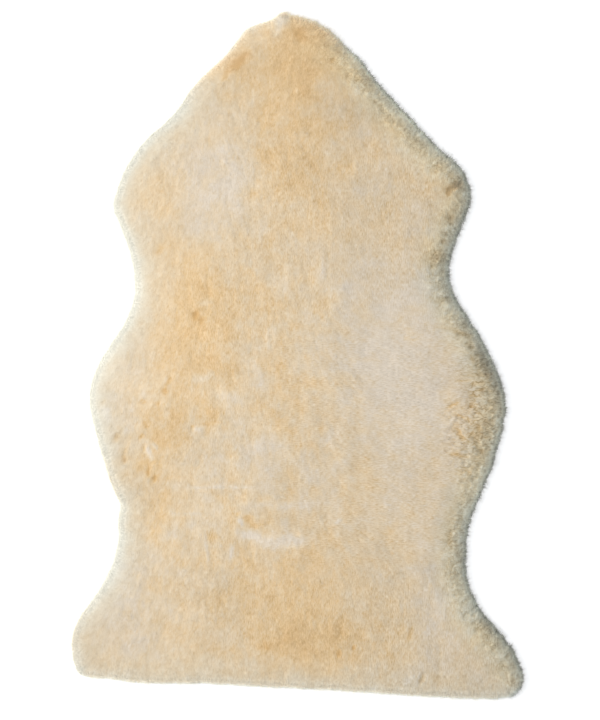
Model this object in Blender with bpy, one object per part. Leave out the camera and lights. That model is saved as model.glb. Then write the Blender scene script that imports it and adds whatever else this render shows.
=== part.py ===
"""Sheepskin rug: one tanned lambskin with its shorn wool, lying wool side up.

Metres, +Z up. The skin rests flat on z = 0 with the neck towards +Y, and the
origin is the middle of its footprint. It is a single pelt: the hide and the
wool that grows from it are one piece, so they are one closed solid. The solid
reaches to the ends of the wool, both at the edge and on top.

Run with: blender --background --python part.py
"""

import math

import bmesh
import bpy
from mathutils import Vector, kdtree, noise

MM = 0.001

# ---------------------------------------------------------------- dimensions
LENGTH = 950.0  # rump edge to the tip of the neck
HIDE = 2.0  # thickness of the tanned skin
WOOL = 26.0  # shorn wool, root to tip
TUCK = 7.0  # how far the hide's cut edge sits inside the ends of the wool
BULGE = 8.0  # height at which the wool at the edge reaches furthest out
UNEVEN = 1.1  # soft rise and fall of the shorn surface, each way
UNEVEN_SPAN = 85.0  # size of one such rise

# The pelt's outline, as cross sections from the rump to the neck. "along" is
# measured up from the lowest point of the rump edge and "out" from the line
# of the spine. The two flanks are not mirror images, so each has its own pair.
# name, left along, left out, right along, right out
SECTIONS = (
    ("hind leg, toe", 52, 310, 32, 313),
    ("hind leg, tip", 71, 313, 52, 307),
    ("hind leg, outer turn", 90, 311, 74, 295),
    ("hind leg, upper side", 113, 302, 97, 277),
    ("hind leg, root", 137, 284, 122, 256),
    ("flank, lower", 165, 267, 148, 241),
    ("flank, narrow on the left", 193, 255, 176, 234),
    ("flank, narrow on the right", 220, 249, 206, 234),
    ("flank, upper", 248, 249, 237, 237),
    ("belly, start", 269, 246, 264, 246),
    ("belly, lower swell", 292, 256, 293, 259),
    ("belly, lower", 331, 269, 331, 273),
    ("belly, middle", 369, 280, 369, 282),
    ("belly, widest", 414, 289, 414, 288),
    ("belly, upper", 449, 282, 449, 278),
    ("belly, upper swell", 483, 264, 483, 263),
    ("belly, end", 516, 242, 516, 244),
    ("elbow, lower", 547, 229, 547, 224),
    ("elbow, narrowest", 576, 226, 576, 212),
    ("elbow, upper", 610, 231, 607, 212),
    ("foreleg, lower", 644, 242, 643, 224),
    ("foreleg, tip", 679, 256, 679, 235),
    ("foreleg, upper turn", 701, 251, 704, 238),
    ("shoulder, lower", 734, 238, 734, 227),
    ("shoulder, upper", 771, 212, 770, 190),
    ("neck, lower", 811, 172, 811, 151),
    ("neck, upper", 850, 142, 850, 119),
    ("cheek", 883, 110, 883, 89),
    ("brow", 916, 82, 916, 56),
)

# The cut edge across the rump, from the left hind leg to the right one.
# name, along, out (left is negative)
RUMP_EDGE = (
    ("left heel", 37, -303),
    ("left corner", 30, -291),
    ("left cut", 26, -256),
    ("left cut, inner", 22, -214),
    ("left hip", 21, -165),
    ("left hip, inner", 21, -118),
    ("tail, left", 17, -62),
    ("tail", 15, -12),
    ("tail, right", 12, 48),
    ("right hip, inner", 7, 118),
    ("right hip", 2, 200),
    ("right cut", 0, 249),
    ("right corner", 1, 281),
    ("right heel", 8, 303),
    ("right heel, outer", 18, 311),
)

# The top of the neck, from the right brow round to the left one.
# name, along, out (left is negative)
NECK_EDGE = (
    ("right bump", 926, 45),
    ("right of the tip", 936, 28),
    ("right notch", 942, 11),
    ("tip, right", 947, -8),
    ("tip", 950, -20),
    ("tip, left", 943, -31),
    ("left of the tip", 937, -43),
    ("left notch", 933, -57),
    ("left bump", 927, -71),
)

# How the top rises from the outline: a rounded, combed-out edge of wool.
# name, inset, share of the rise from BULGE to the full height
EDGE_RISE = (
    ("outline", 0.0, 0.0),
    ("tips of the fringe", 2.0, 0.34),
    ("fringe", 5.0, 0.53),
    ("turn", 10.0, 0.70),
    ("inner turn", 18.0, 0.84),
    ("shoulder of the pile", 30.0, 0.94),
    ("flat of the pile", 46.0, 1.0),
)

STEPS_SIDE = 3  # steps round the outline from one section to the next
STEPS_END = 3  # the same along the rump edge
STEPS_NECK = 2  # and round the neck
INNER_RINGS = 4  # rows of faces between the pile's flat and the spine
SPINE_LOW = 150.0  # where the rows that fan out to the rump start
SPINE_HIGH = 860.0  # where the rows that fan out to the neck start

WOOL_COLOUR = (0.71, 0.57, 0.39, 1.0)


# ---------------------------------------------------------------- the outline
def catmull_rom(a, b, c, d, t):
    """Point at t between b and c on the smooth curve through all four."""
    return 0.5 * (
        2 * b
        + (c - a) * t
        + (2 * a - 5 * b + 4 * c - d) * t**2
        + (3 * b - a - 3 * c + d) * t**3
    )


def outline():
    """(edge points, spine points), one pair for each step round the pelt.

    It starts at the right hind leg and runs anticlockwise. Each edge point has
    the spine point that its row of faces runs to. Both sides of a section
    share one spine point, and the rump and neck each fan out from one.
    """
    marks, spine, steps = [], [], []
    last = len(SECTIONS) - 1

    def on_spine(row):
        share = row / last
        return Vector((0.0, SPINE_LOW + (SPINE_HIGH - SPINE_LOW) * share))

    for row, (_, _, _, along, out) in enumerate(SECTIONS):
        marks.append(Vector((out, along)))
        spine.append(on_spine(row))
        steps.append(STEPS_SIDE if row < last else STEPS_NECK)
    for _, along, out in NECK_EDGE:
        marks.append(Vector((out, along)))
        spine.append(on_spine(last))
        steps.append(STEPS_NECK)
    for row in range(last, -1, -1):
        _, along, out, _, _ = SECTIONS[row]
        marks.append(Vector((-out, along)))
        spine.append(on_spine(row))
        steps.append(STEPS_SIDE if row > 0 else STEPS_END)
    for _, along, out in RUMP_EDGE:
        marks.append(Vector((out, along)))
        spine.append(on_spine(0))
        steps.append(STEPS_END)

    edge, inner = [], []
    count = len(marks)
    for i in range(count):
        around = [marks[(i + k) % count] for k in (-1, 0, 1, 2)]
        for step in range(steps[i]):
            t = step / steps[i]
            edge.append(catmull_rom(*around, t))
            inner.append(spine[i].lerp(spine[(i + 1) % count], t))
    middle = Vector((0.0, LENGTH / 2))
    return [p - middle for p in edge], [p - middle for p in inner]


def inward(edge, i):
    """Unit vector from edge point i into the pelt, square to the edge."""
    run = edge[(i + 1) % len(edge)] - edge[i - 1]
    return Vector((-run.y, run.x)).normalized()


# ---------------------------------------------------------------- the wool
def share_of_rise(inset):
    """EDGE_RISE read off at this inset."""
    for (_, low, start), (_, high, end) in zip(EDGE_RISE, EDGE_RISE[1:]):
        if inset <= high:
            return start + (end - start) * (inset - low) / (high - low)
    return 1.0


def wool_height(x, y, inset):
    """Height of the wool's surface over the floor, in mm."""
    share = share_of_rise(inset)
    soft = noise.noise(Vector((x, y, 0.0)) / UNEVEN_SPAN)
    return BULGE + (HIDE + WOOL - BULGE) * share + 2 * UNEVEN * soft * share**3


def depth_finder(edge):
    """A function that gives the distance from the outline."""
    fine = []
    for i, start in enumerate(edge):
        end = edge[(i + 1) % len(edge)]
        pieces = max(1, round((end - start).length))
        fine += [start.lerp(end, k / pieces) for k in range(pieces)]
    tree = kdtree.KDTree(len(fine))
    for i, point in enumerate(fine):
        tree.insert((point.x, point.y, 0.0), i)
    tree.balance()
    return lambda x, y: tree.find((x, y, 0.0))[2]


def row_insets(reach):
    """Insets along one row, from the outline to the spine, reach away."""
    insets = [inset for _, inset, _ in EDGE_RISE]
    rest = reach - insets[-1]
    return insets + [
        insets[-1] + rest * (k + 1) / INNER_RINGS for k in range(INNER_RINGS)
    ]


# ---------------------------------------------------------------- the solid
def build_pelt(name):
    edge, spine = outline()
    depth = depth_finder(edge)
    around = len(edge)
    rings = len(EDGE_RISE) + INNER_RINGS

    # A flat grid is wrapped round the pelt: its columns follow the outline,
    # and its rows of points run in from there to the spine.
    bm = bmesh.new()
    bmesh.ops.create_grid(bm, x_segments=around, y_segments=rings - 1, size=1.0)
    for vert in bm.verts:
        column = round((vert.co.x + 1) / 2 * around)
        ring = round((vert.co.y + 1) / 2 * (rings - 1))
        start, end = edge[column % around], spine[column % around]
        reach = (end - start).length
        point = start.lerp(end, row_insets(reach)[ring] / reach)
        inset = 0.0 if ring == 0 else depth(point.x, point.y)
        vert.co = (point.x, point.y, wool_height(point.x, point.y, inset))
    bmesh.ops.remove_doubles(bm, verts=bm.verts, dist=0.02)
    bmesh.ops.dissolve_degenerate(bm, edges=bm.edges, dist=0.02)
    bmesh.ops.recalc_face_normals(bm, faces=bm.faces)
    if sum(face.normal.z for face in bm.faces) < 0:
        bmesh.ops.reverse_faces(bm, faces=bm.faces)

    # The wool curls under at the edge, down to the flat back of the hide.
    rows = {}
    for i, point in enumerate(edge):
        rows[round(point.x, 3), round(point.y, 3)] = inward(edge, i)
    for height, tuck in ((BULGE * 0.35, TUCK * 0.45), (0.0, TUCK)):
        rim = [e for e in bm.edges if e.is_boundary]
        made = bmesh.ops.extrude_edge_only(bm, edges=rim)["geom"]
        for vert in (g for g in made if isinstance(g, bmesh.types.BMVert)):
            key = min(
                rows,
                key=lambda k: (k[0] - vert.co.x) ** 2 + (k[1] - vert.co.y) ** 2,
            )
            point = Vector(key) + rows[key] * tuck
            vert.co = (point.x, point.y, height)
    bmesh.ops.holes_fill(bm, edges=[e for e in bm.edges if e.is_boundary], sides=0)
    bmesh.ops.recalc_face_normals(bm, faces=bm.faces)
    if bm.calc_volume(signed=True) < 0:
        bmesh.ops.reverse_faces(bm, faces=bm.faces)

    # The footprint's middle goes to the origin, and millimetres become metres.
    low = [min(v.co[axis] for v in bm.verts) for axis in range(3)]
    high = [max(v.co[axis] for v in bm.verts) for axis in range(3)]
    shift = Vector(((low[0] + high[0]) / 2, (low[1] + high[1]) / 2, low[2]))
    bmesh.ops.translate(bm, verts=bm.verts, vec=-shift)
    bmesh.ops.scale(bm, verts=bm.verts, vec=(MM, MM, MM))

    mesh = bpy.data.meshes.new(name)
    bm.to_mesh(mesh)
    bm.free()
    mesh.shade_smooth()
    return bpy.data.objects.new(name, mesh)


def wool_material():
    material = bpy.data.materials.new("fleece")
    material.use_nodes = True
    shader = material.node_tree.nodes["Principled BSDF"]
    shader.inputs["Base Color"].default_value = WOOL_COLOUR
    shader.inputs["Roughness"].default_value = 0.9
    shader.inputs["Metallic"].default_value = 0.0
    shader.inputs["Sheen Weight"].default_value = 0.5
    shader.inputs["Sheen Roughness"].default_value = 0.5
    material.diffuse_color = WOOL_COLOUR
    return material


def main():
    for obj in list(bpy.data.objects):
        bpy.data.objects.remove(obj, do_unlink=True)
    collection = bpy.data.collections.new("sheepskin rug")
    bpy.context.scene.collection.children.link(collection)

    pelt = build_pelt("sheepskin")
    pelt.data.materials.append(wool_material())
    collection.objects.link(pelt)


main()
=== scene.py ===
"""The looks of the sheepskin rug: hide, fleece and the locks of its shorn wool.

Metres, +Z up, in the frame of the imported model. The rug lies wool side up with
its neck towards +Y, and the camera looks straight down on it.
"""

import math

import bpy
import numpy as np
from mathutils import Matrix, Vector, geometry, kdtree


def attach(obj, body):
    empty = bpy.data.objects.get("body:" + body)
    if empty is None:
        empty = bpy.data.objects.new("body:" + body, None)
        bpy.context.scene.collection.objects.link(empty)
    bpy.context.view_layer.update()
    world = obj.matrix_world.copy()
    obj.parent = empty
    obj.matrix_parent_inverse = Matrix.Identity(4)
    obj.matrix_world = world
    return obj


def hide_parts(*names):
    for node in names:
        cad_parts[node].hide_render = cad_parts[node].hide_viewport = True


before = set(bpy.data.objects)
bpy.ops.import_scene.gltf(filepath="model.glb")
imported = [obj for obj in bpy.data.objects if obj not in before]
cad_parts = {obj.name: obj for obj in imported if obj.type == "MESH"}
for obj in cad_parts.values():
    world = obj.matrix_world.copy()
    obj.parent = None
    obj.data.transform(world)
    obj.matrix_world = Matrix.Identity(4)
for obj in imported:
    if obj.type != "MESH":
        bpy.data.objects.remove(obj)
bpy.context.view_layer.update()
NODE = "sheepskin"
MM = 0.001

# ---------------------------------------------------------------- dimensions
# All in mm. The first five are the CAD solid's own.
HIDE = 2.0
WOOL = 26.0
BULGE = 8.0
UNEVEN = 1.1
UNEVEN_SPAN = 85.0

# How steeply the wool's surface rises on its way in from the outline: inset,
# and the slope there where the edge is full and where it is round, as on the
# right.
EDGE_SLOPE = (
    ("outline", 0.0, 7.0, 3.6),
    ("tips of the fringe", 1.0, 4.4, 2.2),
    ("fringe", 3.0, 1.75, 1.45),
    ("wall", 5.0, 0.95, 1.02),
    ("turn", 8.0, 0.53, 0.72),
    ("inner turn", 12.0, 0.32, 0.50),
    ("top of the turn", 16.0, 0.21, 0.36),
    ("shoulder of the pile", 24.0, 0.12, 0.22),
    ("inner shoulder", 36.0, 0.05, 0.105),
    ("flat of the pile", 54.0, 0.0, 0.0),
)

CELL = 2.0  # pitch of the maps that the shapes are read from
PIXEL = 950.0 / 687.0  # size of one pixel of the view, at the rug


def smooth(low, high, x):
    t = np.clip((x - low) / (high - low), 0.0, 1.0)
    return t * t * (3 - 2 * t)


# ---------------------------------------------------------------- noise
class Noise:
    """Smooth noise in the plane, about -1 to 1, the same on every run."""

    def __init__(self, seed):
        rng = np.random.default_rng(seed)
        angle = rng.uniform(0, 2 * np.pi, (256, 256))
        self.gx, self.gy = np.cos(angle), np.sin(angle)

    def __call__(self, x, y):
        x, y = np.broadcast_arrays(np.asarray(x, float), np.asarray(y, float))
        ix, iy = np.floor(x).astype(int), np.floor(y).astype(int)
        fx, fy = x - ix, y - iy
        u = fx**3 * (fx * (fx * 6 - 15) + 10)
        v = fy**3 * (fy * (fy * 6 - 15) + 10)

        def corner(a, b):
            i, j = (ix + a) & 255, (iy + b) & 255
            return self.gx[j, i] * (fx - a) + self.gy[j, i] * (fy - b)

        low = corner(0, 0) * (1 - u) + corner(1, 0) * u
        high = corner(0, 1) * (1 - u) + corner(1, 1) * u
        return (low * (1 - v) + high * v) * 1.5

    def layers(self, x, y, span, count=3, gain=0.5):
        """Several sizes of it added up. span is the largest one's size."""
        total, weight, norm = 0.0, 1.0, 0.0
        for k in range(count):
            f = 2.0**k / span
            total = total + weight * self(x * f + 17.3 * k, y * f - 9.1 * k)
            norm += weight
            weight *= gain
        return total / norm


def cells(x, y, size, seed, jitter=0.8):
    """Nearest and second nearest of a set of scattered points about size apart.

    Gives the nearest point's place, the two distances and its own number.
    """
    rng = np.random.default_rng(seed)
    jx, jy = rng.uniform(-0.5, 0.5, (2, 256, 256)) * jitter
    x, y = np.asarray(x, float) / size, np.asarray(y, float) / size
    ix, iy = np.floor(x).astype(int), np.floor(y).astype(int)
    best = np.full(x.shape, 1e9)
    second = np.full(x.shape, 1e9)
    cx, cy, who = np.zeros(x.shape), np.zeros(x.shape), np.zeros(x.shape, int)
    for a in (-1, 0, 1):
        for b in (-1, 0, 1):
            i, j = (ix + a) & 255, (iy + b) & 255
            px = ix + a + 0.5 + jx[j, i]
            py = iy + b + 0.5 + jy[j, i]
            d = np.hypot(px - x, py - y)
            nearer = d < best
            second = np.where(nearer, best, np.minimum(second, d))
            cx, cy = np.where(nearer, px, cx), np.where(nearer, py, cy)
            who = np.where(nearer, j * 256 + i, who)
            best = np.where(nearer, d, best)
    return cx * size, cy * size, best * size, second * size, who


# ---------------------------------------------------------------- the outline
def read_outline():
    """The widest line round the CAD solid, in order, in mm, anticlockwise."""
    mesh = bpy.data.objects[NODE].data
    co = np.empty(len(mesh.vertices) * 3)
    mesh.vertices.foreach_get("co", co)
    co = co.reshape(-1, 3) * 1000
    at, same = np.unique(np.round(co, 2), axis=0, return_inverse=True)
    same = same.reshape(-1)
    rim = np.abs(at[:, 2] - BULGE) < 0.02
    links = {}
    for polygon in mesh.polygons:
        corners = [same[v] for v in polygon.vertices]
        for a, b in zip(corners, corners[1:] + corners[:1]):
            if rim[a] and rim[b]:
                links.setdefault(a, set()).add(b)
                links.setdefault(b, set()).add(a)
    start = min(links)
    walk, last = [start], None
    while True:
        step = [k for k in sorted(links[walk[-1]]) if k != last]
        last = walk[-1]
        if not step or step[0] == start:
            break
        walk.append(step[0])
    ring = at[walk, :2]
    x, y = ring[:, 0], ring[:, 1]
    if (x * np.roll(y, -1) - y * np.roll(x, -1)).sum() < 0:
        ring = ring[::-1]
    return ring


def finer(ring, steps):
    """The same line with more points on it, smooth between them."""
    a, b, c, d = (np.roll(ring, k, axis=0)[:, None, :] for k in (1, 0, -1, -2))
    t = (np.arange(steps) / steps)[None, :, None]
    out = 0.5 * (
        2 * b
        + (c - a) * t
        + (2 * a - 5 * b + 4 * c - d) * t**2
        + (3 * b - a - 3 * c + d) * t**3
    )
    return out.reshape(-1, 2)


def eased(ring, pitch, reach):
    """The line at an even pitch, its corners rounded over about reach mm."""
    step = np.roll(ring, -1, axis=0) - ring
    size = np.hypot(step[:, 0], step[:, 1])
    along = np.concatenate([[0.0], np.cumsum(size)])
    count = int(along[-1] / pitch)
    at = np.arange(count) * along[-1] / count
    closed = np.vstack([ring, ring[:1]])
    line = np.stack([np.interp(at, along, closed[:, k]) for k in (0, 1)], -1)
    half = int(3 * reach / pitch)
    weight = np.exp(-0.5 * (np.arange(-half, half + 1) * pitch / reach) ** 2)
    weight /= weight.sum()
    return sum(w * np.roll(line, half - k, axis=0) for k, w in enumerate(weight))


# Where the pile stands out further than the skin does, or less far: middle,
# how far in mm, and the reach of it.
FULLER = (
    ("belly, right", 284.0, -84.0, 1.6, 26.0),
    ("point of the shoulder, right", 238.0, 216.0, 2.6, 22.0),
    ("shoulder, right", 193.0, 292.0, -1.8, 18.0),
    ("neck, right", 119.0, 377.0, -4.0, 30.0),
    ("neck, left", -101.0, 418.0, -2.4, 34.0),
    ("shoulder, left", -170.0, 325.0, -1.8, 50.0),
    ("corner, left", -265.0, -447.0, -1.4, 16.0),
    ("corner, right", 299.0, -471.0, 2.4, 15.0),
)


def scalloped(ring, pitch):
    """The line with the small waves of tufts along the edge."""
    step = np.roll(ring, -1, axis=0) - np.roll(ring, 1, axis=0)
    size = np.hypot(step[:, 0], step[:, 1])[:, None]
    out = np.stack([step[:, 1], -step[:, 0]], -1) / size
    wave, along = Noise(51), np.arange(len(ring)) * pitch
    right = smooth(-0.2, 0.7, out[:, 0])
    deep = (0.55 + 0.45 * right) * (wave(along / 13.0, 0.5) + 0.6 * wave(along / 5.5, 7.5))
    for _, x, y, more, reach in FULLER:
        deep = deep + more * np.exp(-((ring[:, 0] - x) ** 2 + (ring[:, 1] - y) ** 2) / reach**2)
    left = smooth(0.2, 0.85, -out[:, 0])
    return ring + out * (deep + 0.9 - 3.7 * right + 2.3 * left)[:, None]


def traced():
    """The outline of the wool, rounder at the right of the belly."""
    line = finer(read_outline(), 4)
    close, loose = eased(line, 2.0, 4.0), eased(line, 2.0, 9.0)
    far = np.hypot(close[:, 0] - 284, close[:, 1] + 60)
    share = np.exp(-((far / 62) ** 2))[:, None]
    return scalloped(close * (1 - share) + loose * share, 2.0)


RING = traced()


# ---------------------------------------------------------------- maps
class Map:
    """Values on a square grid over the rug, read off between its points."""

    def __init__(self, values, x0, y0, pitch):
        self.v, self.x0, self.y0, self.pitch = values, x0, y0, pitch

    def __call__(self, x, y):
        rows, columns = self.v.shape
        u = np.clip((x - self.x0) / self.pitch, 0, columns - 1.001)
        w = np.clip((y - self.y0) / self.pitch, 0, rows - 1.001)
        i, j = u.astype(int), w.astype(int)
        u, w = u - i, w - j
        v = self.v
        return (v[j, i] * (1 - u) + v[j, i + 1] * u) * (1 - w) + (
            v[j + 1, i] * (1 - u) + v[j + 1, i + 1] * u
        ) * w


def blurred(v, reach):
    """v averaged over about reach grid steps each way, three times over."""
    for _ in range(3):
        for axis in (0, 1):
            pad = [(0, 0), (0, 0)]
            pad[axis] = (reach + 1, reach)
            total = np.cumsum(np.pad(v, pad, mode="edge"), axis=axis)
            n = 2 * reach + 1
            v = (
                np.take(total, range(n, total.shape[axis]), axis=axis)
                - np.take(total, range(0, total.shape[axis] - n), axis=axis)
            ) / n
    return v


MARGIN = 24.0
LOW, HIGH = RING.min(0) - MARGIN, RING.max(0) + MARGIN
SKIRT = finer(RING, 2)
SKIRT_STEP = np.roll(SKIRT, -1, axis=0) - SKIRT
SKIRT_LENGTH = np.hypot(SKIRT_STEP[:, 0], SKIRT_STEP[:, 1])
SKIRT_ALONG = np.concatenate([[0.0], np.cumsum(SKIRT_LENGTH)[:-1]])
SKIRT_UNIT = SKIRT_STEP / SKIRT_LENGTH[:, None]
ROUND = SKIRT_LENGTH.sum()


def make_maps():
    xs = np.arange(LOW[0], HIGH[0], CELL)
    ys = np.arange(LOW[1], HIGH[1], CELL)
    gx, gy = np.meshgrid(xs, ys)
    tree = kdtree.KDTree(len(SKIRT))
    for i, (x, y) in enumerate(SKIRT):
        tree.insert((x, y, 0.0), i)
    tree.balance()
    found = [tree.find((x, y, 0.0)) for x, y in zip(gx.ravel(), gy.ravel())]
    far = np.array([f[2] for f in found]).reshape(gx.shape)
    nearest = np.array([f[1] for f in found]).reshape(gx.shape)
    inside = np.zeros(gx.shape, bool)
    for (ax, ay), (bx, by) in zip(RING, np.roll(RING, -1, axis=0)):
        if ay == by:
            continue
        cross = ax + (gy - ay) * (bx - ax) / (by - ay)
        inside ^= ((ay > gy) != (by > gy)) & (gx < cross)
    depth = np.where(inside, far, -far)
    soft = blurred(depth, 2)
    out_y, out_x = np.gradient(-soft, CELL)
    size = np.maximum(np.hypot(out_x, out_y), 1e-6)
    return (
        Map(depth, xs[0], ys[0], CELL),
        Map(out_x / size, xs[0], ys[0], CELL),
        Map(out_y / size, xs[0], ys[0], CELL),
        nearest,
    )


DEPTH, OUT_X, OUT_Y, NEAREST = make_maps()


def along(x, y):
    """How far round the outline, in mm, its nearest point lies."""
    i = np.clip(np.round((x - LOW[0]) / CELL).astype(int), 0, NEAREST.shape[1] - 1)
    j = np.clip(np.round((y - LOW[1]) / CELL).astype(int), 0, NEAREST.shape[0] - 1)
    k = NEAREST[j, i]
    past = (x - SKIRT[k, 0]) * SKIRT_UNIT[k, 0] + (y - SKIRT[k, 1]) * SKIRT_UNIT[k, 1]
    return SKIRT_ALONG[k] + past


def px(x, y):
    """A place in the view, in its pixels, as a place on the rug, in mm."""
    return (x - 299.5) * PIXEL, (355.5 - y) * PIXEL


# ---------------------------------------------------------------- the nap
SWIRL = Noise(12)


def across_of(x, y):
    """1 on the right flank, where the wool is combed outward, 0 elsewhere."""
    return smooth(-10, 130, x) * smooth(-330, -230, y) * smooth(150, 60, y)


def level_of(x, y):
    """How level in the view, and not upright, the finest grain runs."""
    share = smooth(-110, 20, x) * smooth(-330, -250, y) * smooth(80, 0, y)
    return np.clip(0.10 + 0.80 * share + 0.22 * SWIRL.layers(x, y, 40, 2), 0, 1)


def grain_of(x, y):
    """How strong the grain of the wool is: least at the left and the neck."""
    grain = 1.06 + 0.34 * smooth(30, 170, x)
    grain = grain * (1 - 0.62 * smooth(-70, -220, x))
    grain = grain * (1 - 0.40 * smooth(70, 150, y) * smooth(-20, -110, x))
    grain = grain * (1 - 0.48 * smooth(220, 360, y) * smooth(240, 0, x))
    return grain * (1 - 0.26 * smooth(-230, -310, y) * smooth(90, 0, x))


def nap_of(x, y):
    """Which way the wool is combed, as a vector in the plane.

    From the neck to the rump, but outward across the right flank and over
    every edge.
    """
    across = across_of(x, y)
    left = smooth(40, 240, -x)
    dx = 0.95 * across - 0.35 * left + 0.10
    dy = -1.0 + 0.75 * across
    turn = 0.55 * SWIRL.layers(x, y, 60, 3)
    ax = dx * np.cos(turn) - dy * np.sin(turn)
    ay = dx * np.sin(turn) + dy * np.cos(turn)
    near = smooth(34, 6, DEPTH(x, y))
    ax = ax * (1 - near) + OUT_X(x, y) * near * 1.6
    ay = ay * (1 - near) + OUT_Y(x, y) * near * 1.6
    size = np.maximum(np.hypot(ax, ay), 1e-6)
    return ax / size, ay / size


def make_nap():
    xs = np.arange(LOW[0], HIGH[0], CELL)
    ys = np.arange(LOW[1], HIGH[1], CELL)
    gx, gy = np.meshgrid(xs, ys)
    ax, ay = nap_of(gx, gy)
    return Map(ax, xs[0], ys[0], CELL), Map(ay, xs[0], ys[0], CELL)


NAP_X, NAP_Y = make_nap()


def combed(gx, gy, seed, grain, reach, steps):
    """Random grain of that size drawn out along the nap, about -2 to 2."""
    rng = np.random.default_rng(seed)
    columns = int((HIGH[0] - LOW[0]) / grain) + 3
    rows = int((HIGH[1] - LOW[1]) / grain) + 3
    raw = Map(rng.normal(size=(rows, columns)), LOW[0] - grain, LOW[1] - grain, grain)
    total = raw(gx, gy)
    for way in (1.0, -1.0):
        x, y = gx, gy
        for _ in range(steps):
            ux, uy = NAP_X(x, y), NAP_Y(x, y)
            x = x + ux * way * reach / steps
            y = y + uy * way * reach / steps
            total = total + raw(x, y)
    return total / total.std()


# ---------------------------------------------------------------- the wool's colour and lie
# Warmer (+) and cooler (-) parts of the fleece, and lighter or darker ones.
PATCHES = (
    # name, across, along, half width, half length, warmth, light
    ("crown of the neck", 2, 398, 52, 80, 0.95, -0.025),
    ("tip of the neck", 20, 448, 46, 24, 0.45, 0.02),
    ("throat", -13, 263, 62, 70, 0.50, -0.01),
    ("left of the neck", -93, 398, 25, 25, 0.80, 0.0),
    ("left shoulder", -117, 236, 44, 69, -0.86, 0.03),
    ("point of the shoulder", -221, 215, 25, 41, 0.35, 0.0),
    ("waist, left", -138, 77, 69, 62, 0.70, 0.0),
    ("belly, left", -151, -20, 62, 83, 0.55, 0.0),
    ("flank, left", -204, -172, 28, 62, 0.70, -0.015),
    ("hollow of the belly", -173, -100, 17, 24, 0.70, -0.03),
    ("belly, low", -52, -138, 83, 30, -0.50, 0.0),
    ("navel", 8, -82, 44, 48, 0.45, 0.0),
    ("belly, right", 139, -27, 90, 83, -0.95, 0.03),
    ("waist, right", 139, 91, 83, 41, -0.60, 0.02),
    ("flank, right", 180, -172, 69, 83, -0.30, -0.01),
    ("middle of the rump", 0, -338, 83, 76, 0.80, 0.0),
    ("foot of the rump", 21, -400, 76, 35, 0.50, -0.02),
    ("left of the rump", -234, -338, 41, 83, -0.60, 0.0),
    ("right of the rump", 215, -338, 62, 83, -0.60, 0.0),
    ("right shoulder", 111, 201, 69, 55, -0.10, -0.02),
    ("right of the neck", 49, 339, 30, 83, -0.03, -0.045),
    ("left of the rump, inner", -130, -345, 80, 75, 0.0, -0.05),
    ("belly, left edge", -252, -2, 26, 48, 0.06, 0.03),
    ("brink of the left belly", -222, -12, 42, 66, -0.30, -0.015),
    ("brink of the left flank", -222, -140, 46, 66, 0.0, -0.035),
    ("left foot", -268, -400, 62, 66, 0.0, -0.075),
    ("brink of the right flank", 236, -322, 38, 46, 0.24, 0.17),
    ("right hip", 226, -246, 34, 34, -0.04, 0.06),
    ("brink of the right neck", 140, 334, 28, 26, 0.0, 0.10),
    ("above the rump", 10, -296, 74, 30, -0.14, 0.0),
    ("under the navel", -12, -236, 54, 46, -0.13, 0.0),
    ("left of the belly", -178, -120, 34, 110, -0.05, -0.02),
    ("sole of the left foot", -172, -398, 40, 34, 0.16, -0.015),
    ("edge of the left flank", -258, -78, 28, 42, -0.22, 0.0),
    ("right of the rump, inner", 110, -325, 70, 44, -0.10, 0.0),
    ("edge of the left belly", -262, -38, 30, 76, -0.18, 0.015),
    ("edge of the left waist", -212, 104, 22, 62, -0.03, 0.035),
    ("inside the left flank", -212, -285, 30, 50, 0.14, -0.015),
    ("right shoulder blade", 185, 277, 24, 24, -0.08, 0.12),
    ("crest of the right neck", 80, 331, 26, 26, 0.0, -0.085),
    ("crest of the left neck", -56, 356, 34, 34, -0.13, 0.0),
    ("over the right hip", 200, -224, 34, 26, 0.0, -0.05),
    ("left side, low", -206, -138, 26, 26, -0.16, 0.02),
    ("left side, inner", -152, -127, 24, 28, 0.0, -0.06),
    ("left loin", -146, 36, 42, 36, -0.13, 0.0),
    ("left haunch", -98, -212, 28, 26, -0.14, 0.0),
    ("left elbow", -168, 193, 26, 28, 0.0, -0.06),
    ("root of the tail", -5, -334, 30, 26, -0.12, 0.0),
    ("tail", 15, -418, 24, 18, 0.0, 0.07),
    ("tip of the right belly", 259, -64, 18, 26, -0.05, -0.06),
)

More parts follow.
